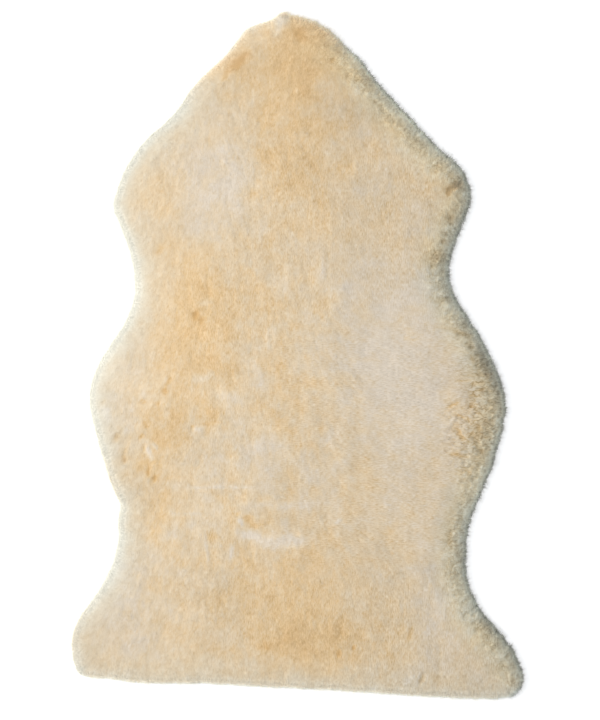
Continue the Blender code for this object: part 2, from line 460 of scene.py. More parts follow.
# Single tufts, strokes and partings: middle, length and width in pixels of the
# view, angle from the horizontal, warmth, light, and height in mm. The light
# column is partly painted light: partings are painted darker (painted shade),
# pale tufts lighter (painted highlight).
MARKS = (
    # column of small partings down the left belly
    (143.7, 401.0, 5.5, 2.6, -35, 1.3, -0.05, -0.8),
    (158.0, 403.0, 5.0, 3.4, 10, 1.1, -0.03, -0.5),
    (165.0, 391.0, 6.0, 4.2, -50, 1.2, -0.05, -0.7),
    (146.0, 424.0, 7.0, 2.8, -60, 1.2, -0.05, -0.8),
    (142.0, 436.0, 5.5, 3.0, 30, 1.1, -0.05, -0.7),
    (144.6, 447.0, 7.0, 2.4, 80, 1.2, -0.06, -0.8),
    (116.5, 437.5, 9.0, 4.0, 65, 1.1, -0.08, -1.0),
    (126.5, 450.0, 5.5, 3.0, 70, 1.1, -0.06, -0.8),
    (124.3, 459.0, 9.0, 3.0, -85, 1.4, -0.07, -1.0),
    (155.5, 477.5, 6.0, 3.0, 70, 1.1, -0.04, -0.7),
    (149.0, 470.0, 12.0, 3.0, 88, 0.9, -0.03, -0.5),
    (104.0, 402.0, 7.0, 3.0, 75, 0.9, -0.05, -0.7),
    (169.0, 381.0, 6.0, 3.0, 60, 1.0, -0.04, -0.6),
    (193.0, 427.5, 6.5, 2.2, 86, 1.1, -0.06, -0.9),
    (206.0, 424.0, 24.0, 1.4, 9, 0.9, -0.05, -0.7),
    # lower belly
    (237.7, 513.0, 7.0, 2.0, 25, 1.3, -0.06, -0.8),
    (250.0, 520.5, 15.0, 7.0, -58, 0.9, -0.02, -0.4),
    (212.5, 535.5, 9.0, 7.0, 60, 0.8, -0.03, -0.4),
    (294.0, 530.0, 14.0, 6.0, -50, 0.6, -0.02, -0.3),
    (324.0, 516.0, 9.0, 4.0, 0, -0.5, -0.015, -0.5),
    # rump
    (353.0, 646.0, 4.0, 3.0, 90, 1.9, -0.08, -1.2),
    (338.5, 652.5, 7.0, 3.5, 80, 1.3, -0.05, -0.8),
    (342.0, 626.0, 26.0, 7.0, 84, 0.5, -0.035, -0.5),
    (345.0, 668.0, 12.0, 3.0, 10, -0.6, 0.02, 0.4),
    (421.0, 679.0, 13.0, 3.2, 72, 1.1, -0.10, -1.6),
    (265.0, 645.0, 10.0, 10.0, 80, 0.7, -0.02, 0.0),
    (410.0, 632.0, 13.0, 3.0, 78, 0.7, -0.04, -0.5),
    # right flank
    (459.0, 434.0, 16.0, 3.4, -52, 1.3, -0.08, -1.2),
    (452.0, 404.5, 13.0, 2.2, 28, 1.4, -0.08, -1.1),
    (470.5, 404.5, 6.0, 3.6, 80, 1.6, -0.08, -1.1),
    (462.0, 417.0, 15.0, 2.6, -28, 1.1, -0.06, -1.0),
    (457.0, 455.0, 18.0, 2.4, -12, 1.2, -0.07, -1.0),
    (474.0, 437.0, 14.0, 3.4, -55, 1.3, -0.09, -1.2),
    (479.0, 449.0, 14.0, 3.6, -48, 1.2, -0.09, -1.2),
    (487.0, 437.5, 9.0, 2.6, 5, 1.1, -0.09, -1.1),
    (466.0, 470.0, 8.0, 3.0, -60, 0.9, -0.05, -0.8),
    (454.0, 187.0, 16.0, 5.0, 25, 2.3, -0.18, -1.3),
    (448.0, 193.0, 6.0, 5.0, 70, 1.4, -0.09, -0.9),
    (417.0, 142.0, 5.0, 3.0, 70, 1.2, -0.11, -0.9),
    (439.5, 258.0, 12.0, 16.0, 80, 1.1, -0.09, -0.9),
    (443.0, 275.0, 7.0, 6.0, 60, 1.0, -0.10, -0.9),
    (451.0, 219.0, 10.0, 6.0, 60, 0.8, -0.06, -0.6),
    (437.0, 168.0, 9.0, 5.0, 50, 0.7, -0.05, -0.6),
    (462.0, 176.0, 16.0, 7.0, -68, 0.4, -0.07, -0.4),
    (478.0, 375.0, 26.0, 2.4, 3, 1.2, -0.13, -1.3),
    (461.0, 381.0, 14.0, 2.0, 4, 0.9, -0.08, -0.8),
    (476.5, 383.5, 15.0, 2.4, 8, 1.2, -0.13, -1.2),
    (479.0, 389.5, 11.0, 2.2, 22, 1.1, -0.11, -1.0),
    (471.0, 396.0, 12.0, 2.0, -10, 0.9, -0.09, -0.8),
    (483.0, 361.0, 16.0, 11.0, 80, 0.5, -0.09, -0.7),
    (462.0, 334.0, 16.0, 2.6, -15, 1.0, -0.09, -0.9),
    (445.0, 328.0, 18.0, 2.2, -8, 0.8, -0.06, -0.6),
    (477.5, 432.0, 12.0, 4.0, -75, 1.4, -0.12, -1.1),
    # shoulders and neck
    (240.5, 61.5, 24.0, 8.0, 45, 1.15, -0.02, -0.6),
    (226.0, 76.0, 12.0, 5.0, 60, 0.9, -0.02, -0.4),
    (300.0, 36.0, 16.0, 9.0, -60, 0.8, -0.03, -0.4),
    (332.0, 62.0, 4.0, 3.0, 60, 1.2, -0.03, -0.4),
    (279.0, 30.0, 16.0, 6.5, 70, -0.95, 0.015, 0.3),
    (283.0, 20.0, 13.0, 12.0, 0, -1.1, -0.01, 0.1),
    (238.0, 38.0, 22.0, 16.0, 40, 0.7, 0.02, 0.0),
    (216.0, 66.0, 30.0, 12.0, 45, 0.8, 0.01, 0.0),
    (160.0, 250.0, 10.0, 5.0, 60, 1.0, -0.04, -0.6),
    (196.0, 316.0, 9.0, 5.0, 60, 1.0, -0.02, -0.6),
    (202.0, 321.0, 7.0, 4.0, 80, 0.9, -0.025, -0.6),
    # pale tufts and strokes
    (150.5, 453.0, 13.0, 5.0, -65, -1.6, 0.04, 0.6),
    (156.0, 446.0, 9.0, 2.4, -50, -1.4, 0.04, 0.5),
    (107.0, 412.0, 9.0, 7.0, 60, -1.2, 0.03, 0.4),
    (167.0, 414.0, 8.0, 5.0, 70, -1.0, 0.03, 0.3),
    (198.5, 429.0, 9.0, 5.0, -5, -1.2, 0.03, 0.4),
    (224.0, 487.2, 62.0, 1.4, 0, -1.1, 0.03, 0.4),
    (236.0, 483.8, 42.0, 1.2, 0, -1.0, 0.03, 0.3),
    (188.0, 513.5, 26.0, 1.6, 0, -1.0, 0.025, 0.3),
    (295.0, 507.3, 32.0, 1.6, 0, -1.0, 0.03, 0.3),
    (284.0, 503.5, 86.0, 4.4, 1, -0.55, 0.018, 0.2),
    (360.0, 88.0, 20.0, 10.0, 50, -1.0, 0.035, 0.4),
    (241.0, 521.5, 9.0, 2.2, -55, -1.6, 0.04, 0.5),
    (248.0, 534.0, 30.0, 7.0, -10, -1.0, 0.03, 0.4),
    (286.0, 540.5, 52.0, 11.0, 4, -1.2, 0.03, 0.5),
    (337.5, 520.5, 9.0, 2.2, 30, -1.4, 0.04, 0.4),
    (232.0, 551.0, 14.0, 2.6, 84, -1.1, 0.03, 0.3),
    (207.0, 548.0, 26.0, 2.4, -84, -0.9, 0.03, 0.3),
    (201.0, 378.0, 18.0, 6.0, 10, -1.1, 0.035, 0.3),
    (228.0, 396.0, 22.0, 10.0, -20, -0.9, 0.03, 0.3),
    (258.0, 372.0, 30.0, 6.0, -75, -0.8, 0.03, 0.3),
    (205.0, 303.0, 16.0, 4.0, 10, -0.8, 0.02, 0.3),
)


def blob(gx, gy, x, y, length, width, angle, square=4):
    """1 in the middle of a soft-ended stroke, 0 well away from it."""
    c, s = math.cos(math.radians(angle)), math.sin(math.radians(angle))
    a = ((gx - x) * c + (gy - y) * s) / (length / 2)
    b = ((gy - y) * c - (gx - x) * s) / (width / 2)
    return np.exp(-np.abs(a) ** square - b * b)


ONE, TWO, THREE, FOUR = Noise(31), Noise(32), Noise(33), Noise(34)
NUBS = Noise(39)


def fingers(x, y):
    """The fingers that the pile stands in round the edge, most on the right.

    Gives how deep in a crack between two a point is, the way along the edge to
    its own finger's middle, and how far apart the fingers stand there.
    """
    right = smooth(0.05, 0.75, OUT_X(x, y))
    spread = smooth(-0.30, 0.25, ONE.layers(x, y, 38, 2))
    flank = np.exp(-(((y + 70) / 88) ** 2)) * smooth(150, 200, x)
    share = right * (0.20 + 0.80 * flank) * (0.5 + 0.5 * spread)
    apart = smooth(40, 18, DEPTH(x, y)) * (0.08 + 0.92 * share)
    round_ = along(x, y) + 2.6 * THREE.layers(x, y, 13, 2)
    inward = DEPTH(x, y) * 0.30 + 1.6 * FOUR.layers(x, y, 17, 2)
    middle, _, near, second, _ = cells(round_, inward, FINGER, 41)
    crack = smooth(0.36, 0.02, (second - near) / FINGER) * apart
    return crack, middle - round_, apart


FINGER = 5.6


def make_look():
    """Maps of the rug: warmth, light, paleness of the edge, unevenness, and how
    far the pile stands in strands and in nubs. The light map carries painted light
    and shade along the edges and in partings, the paleness of the edge is partly
    painted light, and a last map holds the painted grey-green shade of the right edge.
    """
    xs = np.arange(LOW[0], HIGH[0], 1.0)
    ys = np.arange(LOW[1], HIGH[1], 1.0)
    gx, gy = np.meshgrid(xs, ys)
    depth = DEPTH(gx, gy)
    one, two, three, four = ONE, TWO, THREE, FOUR
    wx = gx + 24 * one.layers(gx, gy, 75, 3)
    wy = gy + 24 * two.layers(gx, gy, 75, 3)
    tone = np.full(gx.shape, TONE_BASE)
    light = np.ones(gx.shape)
    for _, x, y, rx, ry, warmth, shine in PATCHES:
        share = np.exp(-(((wx - x) / rx) ** 2 + ((wy - y) / ry) ** 2) * 0.9)
        tone += 1.2 * warmth * share
        light += shine * share
    speck = combed(gx, gy, 38, 1.3, 1.0, 1)
    fine = combed(gx, gy, 35, 1.15, 2.2, 3)
    coarse = combed(gx, gy, 36, 2.4, 5.5, 4)
    tufts = combed(gx, gy, 37, 5.5, 9.0, 4)
    calm = 1 - 0.7 * smooth(0.1, 0.8, -OUT_X(gx, gy)) * smooth(30, 10, depth)
    speck, fine, coarse = speck * calm, fine * calm, coarse * calm
    # The pile is most uneven across the belly, and least at the neck.
    still = 1 - 0.5 * smooth(330, 410, gy)
    still += 0.50 * smooth(150, 60, gy) * smooth(-330, -230, gy) * smooth(120, 20, gx)
    quiet = smooth(-90, -180, gx) * smooth(-110, -30, gy)
    still *= 1 - 0.65 * quiet
    tone += 0.42 * three.layers(gx, gy, 52, 2)
    tone += 0.52 * four.layers(gx, gy, 27, 2) * still
    tone += 0.22 * two.layers(gx, gy, 12, 2) * still
    tone -= SPECK_TONE * speck + FINE_TONE * fine
    tone -= COARSE_TONE * coarse + TUFT_TONE * tufts
    # Paler and lighter patches at random.
    broad = one.layers(gx, gy, 34, 3) * (0.4 + 0.6 * np.minimum(still, 1))
    close = two.layers(gx, gy, 15, 2) * still
    tone -= 0.16 * broad + 0.16 * close
    tone = np.minimum(tone, 0.75 + 0.6 * (tone - 0.75))
    light += 0.052 * broad + 0.027 * close
    light += SPECK_LIGHT * speck + FINE_LIGHT * fine
    light += COARSE_LIGHT * coarse + TUFT_LIGHT * tufts
    height = 0.05 * coarse + 0.10 * tufts
    height += 0.72 * two.layers(gx, gy, 26, 3) * smooth(4, 24, depth) * (1 - 0.5 * quiet)

    # The open, nubbly pile of the right edge. Its nubs stand up and are painted lighter (painted
    # highlight); where it parts it dips, turns warmer and is painted darker (painted shade).
    right = smooth(-0.05, 0.6, OUT_X(gx, gy)) * (1 - 0.75 * smooth(405, 450, gy))
    finger, _, _ = fingers(gx, gy)
    band = smooth(42, 14, depth) * (0.15 + 0.85 * right)
    nubs = NUBS.layers(gx, gy, 7.5, 3) * band
    nx = gx + 3.2 * two.layers(gx, gy, 8, 2)
    ny = gy + 3.2 * three.layers(gx, gy, 8, 2)
    _, _, near, second, _ = cells(nx, ny, 5.2, 43, 0.9)
    split = smooth(0.34, 0.04, (second - near) / 5.2) * band * (1 - 0.6 * finger)
    parted = smooth(0.12, 0.62, one.layers(gx + 70, gy + 20, 26, 3)) * right
    parted *= smooth(36, 22, depth) * smooth(1, 8, depth) * smooth(-450, -400, gy)
    tone += 1.0 * parted + 0.6 * split - 1.1 * nubs
    light += 0.32 * nubs - 0.16 * parted - 0.14 * split
    height += 1.4 * nubs - 0.8 * parted - 0.8 * split
    # Curls on the right flank. The cracks between the curls and between the edge's fingers dip,
    # turn warmer and are painted darker: painted shade in the cracks.
    x, y = px(468, 438)
    curly = np.exp(-(((gx - x) / 40) ** 2 + ((gy - y) / 66) ** 2) * 1.2)
    cx = gx + 5.0 * three.layers(gx, gy, 11, 2)
    cy = gy + 5.0 * four.layers(gx, gy, 11, 2)
    _, _, near, second, _ = cells(cx * 0.72, cy, 5.6, 42)
    curl = smooth(0.22, 0.0, (second - near) / 5.6) * smooth(0.10, 0.6, curly)
    tone += 0.8 * finger + 0.5 * curl
    light -= 0.12 * finger + 0.08 * curl
    # Where the shader draws dark lines between wavy tufts (strand) and between nubs (nub): their
    # darkening is painted shade in the partings.
    strand = smooth(150, 195, gx) * np.exp(-(((gy + 84) / 84) ** 4))
    strand *= smooth(3, 9, depth) * smooth(75, 40, depth)
    strand *= smooth(-0.55, 0.1, two.layers(gx - 40, gy, 24, 2))
    nub = smooth(2, 6, depth) * smooth(48, 16, depth) * (0.12 + 0.88 * right)
    nub *= (1 - strand) * smooth(-0.6, 0.25, one.layers(gx + 30, gy, 28, 2))
    height -= 1.9 * finger + 1.1 * curl

    for x, y, length, width, angle, warmth, shine, lift in MARKS:
        x, y = px(x, y)
        length, width = length * PIXEL * 1.1, width * PIXEL * 1.25
        reach = length * 0.8 + width
        i0, i1 = np.searchsorted(xs, (x - reach, x + reach))
        j0, j1 = np.searchsorted(ys, (y - reach, y + reach))
        part = (slice(j0, j1), slice(i0, i1))
        wob_x = gx[part] + 1.6 * three.layers(gx[part], gy[part], 9, 2)
        wob_y = gy[part] + 1.6 * four.layers(gx[part], gy[part], 9, 2)
        share = blob(wob_x, wob_y, x, y, length, width, angle)
        tone[part] += MARK_TONE * warmth * share
        # The light column paints shade into partings and light onto pale tufts, doubled for the
        # pale ones.
        light[part] += MARK_LIGHT * shine * share * (1.0 if warmth > 0 else 2.0)
        height[part] += lift * share

    left = smooth(0.1, 0.8, -OUT_X(gx, gy))
    rim = (depth - 2.0 * left) * (1 + 0.25 * one.layers(gx, gy, 24, 2))
    rim = np.interp(rim, [r[0] for r in PALE_RIM], [r[1] for r in PALE_RIM])
    height *= smooth(0.5, 7.0, depth)
    # The pale rim is partly the wool's own paler tips and partly painted light: palest on the
    # left, where the light falls, a little less pale on the open pile of the right, and least
    # pale at the top and bottom.
    rim *= 0.50 + 0.50 * left + 0.32 * right
    rim *= 1 - 0.70 * smooth(335, 400, gy) * (1 - 0.5 * right) * smooth(1, 8, depth)
    # Painted light and shade on the right edge: lighter bands, darker at the top of the flank,
    # lighter low on it.
    light += 0.05 * right * (smooth(40, 16, depth) + smooth(11, 5, depth))
    flank_top = np.exp(-(((gy + 12) / 52) ** 2)) * right
    light -= 0.15 * flank_top * smooth(17, 8, depth)
    flank_low = np.exp(-(((gy + 96) / 46) ** 2)) * right
    light += 0.13 * flank_low * smooth(22, 10, depth)
    # Painted shade on the left slope, which faces the light; painted light on the top edge, on
    # the outermost left rim, and on the rims of the top and bottom.
    shade = 0.15 - 0.02 * smooth(-120, -60, gy)
    light -= shade * left * smooth(66, 8, depth) * smooth(-2, 4, depth)
    light += 0.09 * smooth(0.3, 0.9, OUT_Y(gx, gy)) * smooth(26, 5, depth)
    light -= 0.03 * left * smooth(4, 9, depth) * smooth(28, 16, depth)
    light += 0.16 * left * smooth(7.0, 2.6, depth)
    light += 0.34 * (1 - right) * (1 - left) * smooth(7.5, 2.0, depth)
    # The bottom rim is paler: partly painted light.
    rim += 0.40 * smooth(0.3, 0.9, -OUT_Y(gx, gy)) * smooth(5.5, 1.5, depth)
    rim = np.minimum(rim, 1.0)
    # Painted light at the neck: on its left rim and along its edges, most on the right.
    neck = smooth(340, 410, gy)
    light += 0.16 * neck * left * smooth(10, 4, depth)
    light += (0.05 + 0.10 * smooth(-0.2, 0.5, OUT_X(gx, gy))) * neck * smooth(56, 12, depth)
    # Painted light at the lower right corner.
    corner = np.exp(-(((gx - 296) / 26) ** 2 + ((gy + 466) / 24) ** 2))
    light += 0.20 * corner * right
    # Each stretch of the edge, by its middle and reach along the rug, is painted lighter or
    # darker: painted light and shade, warmer where it is painted darker.
    side = smooth(-0.05, 0.6, OUT_X(gx, gy))
    near_ = lambda middle, reach: np.exp(-(((gy - middle) / reach) ** 2))
    light += 0.07 * right * smooth(15, 22, depth) * smooth(46, 34, depth)
    rim *= 1 - 0.24 * side * smooth(4, 8, depth) * smooth(32, 20, depth)
    lip = np.exp(-(((depth - 3.6) / 2.8) ** 2))
    light += side * (0.32 * near_(326, 36) + 0.19 * near_(400, 34)) * lip
    light += 0.16 * side * near_(-7, 38) * smooth(5, 2, depth)
    light += 0.05 * side * near_(400, 34) * smooth(7, 9, depth) * smooth(30, 20, depth)
    light -= 0.18 * side * near_(-7, 38) * smooth(6, 10, depth) * smooth(28, 18, depth)
    light += 0.28 * side * near_(-180, 36) * smooth(2, 4, depth) * smooth(24, 11, depth)
    low = side * (0.19 * near_(-286, 36) + 0.17 * near_(-385, 42)) * smooth(13, 7, depth)
    light -= low
    tone += 2.5 * low
    plain = left * (near_(-172, 36) + near_(-392, 44))
    rim *= 1 - 0.30 * plain - 0.35 * left * near_(384, 26)
    light -= 0.035 * plain * smooth(16, 10, depth)
    # A grey-green cast on the shaded right edge: painted shade.
    shade_tint = right * smooth(62, 16, depth) * (1 - 0.6 * corner)
    make = lambda v: Map(v, xs[0], ys[0], 1.0)
    return make(tone), make(light), make(rim), make(height), make(strand), make(nub), make(shade_tint)


# How pale the wool is at each inset from the outline, in mm.
PALE_RIM = ((0, 1.0), (7, 0.85), (12, 0.65), (18, 0.45), (28, 0.24), (45, 0.05), (60, 0))
TONE_BASE = -0.05
SPECK_TONE, FINE_TONE, COARSE_TONE, TUFT_TONE = 0.12, 0.14, 0.06, 0.05
SPECK_LIGHT, FINE_LIGHT, COARSE_LIGHT, TUFT_LIGHT = 0.022, 0.014, 0.004, 0.003
MARK_TONE, MARK_LIGHT = 1.1, 1.4
TONE, LIGHT, RIM, HEIGHT, STRAND, NUB, SHADE_TINT = make_look()
SOFT = Noise(11)


INSETS = np.arange(0.0, 54.1, 0.25)


def risen(column):
    """Share of the whole rise reached at each of INSETS."""
    steep = np.interp(INSETS, [r[1] for r in EDGE_SLOPE], [r[column] for r in EDGE_SLOPE])
    reached = np.concatenate([[0.0], np.cumsum((steep[1:] + steep[:-1]) / 2)])
    return reached / reached[-1]


FULL, ROUNDED = risen(2), risen(3)


def roundness(x, y):
    """How round the edge is: 1 on the right, less round the neck, else 0."""
    return smooth(-0.15, 0.75, OUT_X(x, y)) * (1 - 0.75 * smooth(405, 450, y))


def rise(x, y):
    """Share of its full height that the wool has reached."""
    depth = DEPTH(x, y)
    full = np.interp(depth, INSETS, FULL)
    right = 0.5 + 0.5 * roundness(x, y)
    return full + (np.interp(depth, INSETS, ROUNDED) - full) * right


def plain_top(x, y):
    """Height of the wool over the floor but for its tufts, in mm."""
    share = rise(x, y)
    soft = SOFT(x / UNEVEN_SPAN, y / UNEVEN_SPAN)
    return BULGE + (HIDE + WOOL - BULGE) * share + UNEVEN * soft * share**3


def wool_top(x, y):
    """Height of the wool over the floor, in mm."""
    return plain_top(x, y) + HEIGHT(x, y)


def slope(x, y, step=1.5):
    """Upward unit normal of the wool's surface."""
    nx = -(wool_top(x + step, y) - wool_top(x - step, y)) / (2 * step)
    ny = -(wool_top(x, y + step) - wool_top(x, y - step)) / (2 * step)
    n = np.stack([nx, ny, np.ones_like(nx)], -1)
    return n / np.linalg.norm(n, axis=-1, keepdims=True)


# ---------------------------------------------------------------- locks
def unit(v):
    return v / np.maximum(np.linalg.norm(v, axis=-1, keepdims=True), 1e-9)


def frame_of(direction, up, twist):
    """The sideways and the ridge direction of locks that lie along direction."""
    side = unit(np.cross(direction, up))
    ridge = np.cross(side, direction)
    c, s = np.cos(twist)[:, None], np.sin(twist)[:, None]
    return side * c + ridge * s, ridge * c - side * s


def straight(root, tip, up, width, twist, thick):
    """Thin closed locks of four triangles, each with a ridge along its top."""
    n = len(root)
    side, ridge = frame_of(unit(tip - root), up, twist)
    w = width[:, None]
    points = np.stack(
        [root - side * w / 2, root + side * w / 2, root + ridge * w * thick, tip], 1
    )
    pattern = np.array([(0, 1, 2), (0, 3, 1), (0, 2, 3), (1, 3, 2)])
    faces = pattern[None] + (np.arange(n) * 4)[:, None, None]
    lift = np.tile([0.0, 0.0, 0.0, 1.0], n)
    return points.reshape(-1, 3), faces.reshape(-1, 3), lift


def bent(root, direction, bend, length, up, width, twist, thick):
    """Closed locks of ten triangles that bend once on their way."""
    n = len(root)
    mid = root + direction * (length * 0.5)[:, None]
    tip = mid + unit(direction + bend) * (length * 0.5)[:, None]
    side, ridge = frame_of(direction, up, twist)
    points = np.empty((n, 7, 3))
    w = width[:, None]
    for k, (centre, half) in enumerate(((root, 0.36), (mid, 0.5))):
        points[:, 3 * k] = centre - side * w * half
        points[:, 3 * k + 1] = centre + side * w * half
        points[:, 3 * k + 2] = centre + ridge * w * thick * (0.7 + 0.3 * k)
    points[:, 6] = tip
    pattern = [(0, 1, 2)]
    for k in range(3):
        m = (k + 1) % 3
        pattern += [(k, 3 + m, m), (k, 3 + k, 3 + m), (3 + k, 6, 3 + m)]
    faces = np.array(pattern)[None] + (np.arange(n) * 7)[:, None, None]
    lift = np.tile([0.0, 0.0, 0.0, 0.6, 0.6, 0.6, 1.0], n)
    return points.reshape(-1, 3), faces.reshape(-1, 3), lift


def scatter(spacing, seed, low, high):
    """Scattered points, about spacing apart, whose depth is in [low, high)."""
    rng = np.random.default_rng(seed)
    row = spacing * math.sqrt(3) / 2
    xs = np.arange(LOW[0], HIGH[0], spacing)
    ys = np.arange(LOW[1], HIGH[1], row)
    gx, gy = np.meshgrid(xs, ys)
    gx = gx + (np.arange(len(ys)) % 2)[:, None] * spacing / 2
    gx = (gx + rng.uniform(-0.38, 0.38, gx.shape) * spacing).ravel()
    gy = (gy + rng.uniform(-0.38, 0.38, gy.shape) * spacing).ravel()
    d = DEPTH(gx, gy)
    keep = (d >= low) & (d < high)
    return gx[keep], gy[keep], rng


# ---------------------------------------------------------------- meshes
def mesh_object(name, points, faces, material, attributes=None, normals=None):
    """A piece from points in mm and triangles, with a map laid flat on it."""
    points = np.asarray(points, np.float64) * MM
    faces = np.asarray(faces, np.int32)
    mesh = bpy.data.meshes.new(name)
    mesh.vertices.add(len(points))
    mesh.vertices.foreach_set("co", points.astype(np.float32).ravel())
    mesh.loops.add(faces.size)
    mesh.loops.foreach_set("vertex_index", faces.ravel())
    mesh.polygons.add(len(faces))
    mesh.polygons.foreach_set("loop_start", np.arange(0, faces.size, 3, dtype=np.int32))
    mesh.update(calc_edges=True)
    flat = points[:, :2] / 0.98 + 0.5
    layer = mesh.uv_layers.new(name="OFBake")
    layer.uv.foreach_set("vector", flat[faces.ravel()].astype(np.float32).ravel())
    for key, values in (attributes or {}).items():
        store = mesh.attributes.new(key, "FLOAT", "POINT")
        store.data.foreach_set("value", np.asarray(values, np.float32))
    mesh.shade_smooth()
    if normals is not None:
        even = facing_out(points, faces, normals)
        mesh.normals_split_custom_set(even.astype(np.float32))
    mesh.materials.append(material)
    piece = bpy.data.objects.new(name, mesh)
    bpy.context.scene.collection.objects.link(piece)
    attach(piece, "root")
    return piece


def facing_out(points, faces, normals):
    """Normals of each face's corners, kept on the outer side of the face."""
    a, b, c = (points[faces[:, k]] for k in range(3))
    face = unit(np.cross(b - a, c - a))[:, None]
    corner = normals[faces]
    short = 0.15 - (corner * face).sum(-1, keepdims=True)
    return unit(corner + face * np.maximum(short, 0)).reshape(-1, 3)


def dress(points, lift, rng, group):
    """The colour of points of locks: lift is 0 at a root and 1 at a tip."""
    x, y = points[:, 0], points[:, 1]
    own = np.repeat(rng.normal(0, 1, len(points) // group), group)
    return {
        "warmth": TONE(x, y) + ROOT_TONE * (1 - lift) + OWN_TONE * own,
        "light": LIGHT(x, y) * (1 - ROOT_SHADE * (1 - lift)) - OWN_LIGHT * own,
        "edge": RIM(x, y),
        "strand": STRAND(x, y),
        "nub": NUB(x, y),
        "shade_tint": SHADE_TINT(x, y),
        "level": level_of(x, y),
        "grain": grain_of(x, y),
    }


# Toward their roots the locks are warmer, and a little darker: painted shade deep in the pile.
ROOT_TONE, ROOT_SHADE = 0.25, 0.04
OWN_TONE, OWN_LIGHT = 0.16, 0.016


def core_low(x, y):
    """How far the mass of the wool lies under the tips of the locks, in mm."""
    return np.interp(DEPTH(x, y), [3.2, 8, 16, 24], [1.5, 1.5, 1.2, 1.0])


def core_mesh(step=3.0):
    """The wool's mass under its locks, closed. Gives points and faces."""
    xs = np.arange(LOW[0], HIGH[0], step)
    ys = np.arange(LOW[1], HIGH[1], step)
    gx, gy = np.meshgrid(xs, ys)
    margin = 3.2
    ok = DEPTH(gx, gy) > margin
    cell = ok[:-1, :-1] & ok[1:, :-1] & ok[:-1, 1:] & ok[1:, 1:]
    corners = np.zeros(ok.shape, int)
    for a in (0, 1):
        for b in (0, 1):
            corners[a : a + cell.shape[0], b : b + cell.shape[1]] += cell
    used = corners > 0
    number = np.full(ok.shape, -1)
    number[used] = np.arange(used.sum())
    x, y = gx[used], gy[used]
    # The outermost points are drawn onto one line, just inside the outline.
    rim = corners[used] < 4
    for _ in range(2):
        d = DEPTH(x, y)
        x = np.where(rim, x + OUT_X(x, y) * (d - margin), x)
        y = np.where(rim, y + OUT_Y(x, y) * (d - margin), y)
    upper = np.stack([x, y, wool_top(x, y)], -1)
    upper = upper - slope(x, y) * core_low(x, y)[:, None]
    a, b = number[:-1, :-1][cell], number[:-1, 1:][cell]
    c, e = number[1:, 1:][cell], number[1:, :-1][cell]
    faces = np.concatenate([np.stack([a, b, c], -1), np.stack([a, c, e], -1)])
    # The edge turns under, down to the hide.
    edges = np.concatenate([faces[:, [0, 1]], faces[:, [1, 2]], faces[:, [2, 0]]])
    _, first, count = np.unique(
        np.sort(edges, axis=1), axis=0, return_index=True, return_counts=True
    )
    follow = dict(edges[first[count == 1]].tolist())
    ring = [next(iter(follow))]
    while follow[ring[-1]] != ring[0]:
        ring.append(follow[ring[-1]])
    ring = np.array(ring)
    points, all_faces = [upper], [faces]
    last, base = ring, len(upper)
    rx, ry = upper[ring, 0], upper[ring, 1]
    ox, oy = OUT_X(rx, ry), OUT_Y(rx, ry)
    for height, inset in UNDER:
        lower = np.stack([rx - ox * inset, ry - oy * inset, 0 * rx + height], -1)
        now = base + np.arange(len(ring))
        nxt, nxl = np.roll(now, -1), np.roll(last, -1)
        all_faces += [np.stack([last, now, nxt], -1), np.stack([last, nxt, nxl], -1)]
        points.append(lower)
        last, base = now, base + len(ring)
    floor = [Vector((p[0], p[1], 0.0)) for p in points[-1]]
    cap = np.array(geometry.tessellate_polygon([floor]))
    cap = facing(points[-1], cap, -1)
    all_faces.append(cap + last[0])
    return np.concatenate(points), np.concatenate(all_faces), points[-1][:, :2]


# How the mass of the wool turns under: height, and inset from its widest line.
UNDER = ((9.0, 0.2), (5.0, 1.6), (2.15, 4.6))


def facing(points, faces, way):
    """The triangles, all turned to face up (1) or down (-1)."""
    a, b, c = (points[faces[:, k]] for k in range(3))
    turn = (b[:, 0] - a[:, 0]) * (c[:, 1] - a[:, 1]) - (b[:, 1] - a[:, 1]) * (
        c[:, 0] - a[:, 0]
    )
    wrong = turn * way < 0
    faces = faces.copy()
    faces[wrong] = faces[wrong][:, ::-1]
    return faces[np.abs(turn) > 1e-9]


# ---------------------------------------------------------------- materials
# Linear colours of the wool from cool cream to the tan deep in a parting.
CREAM = (0.754, 0.653, 0.532, 1)
MIDDLE = (0.795, 0.641, 0.443, 1)
HONEY = (0.812, 0.588, 0.328, 1)
TAN = (0.730, 0.460, 0.200, 1)
# EDGE is the pale grey colour of the rim: partly the wool's paler tips, partly painted light.
EDGE = (0.785, 0.770, 0.672, 1)


GRAIN_TONE, GRAIN_LIGHT = -1.45, 0.30
LINE_TONE, PARTING_SHADE = 1.1, 0.24


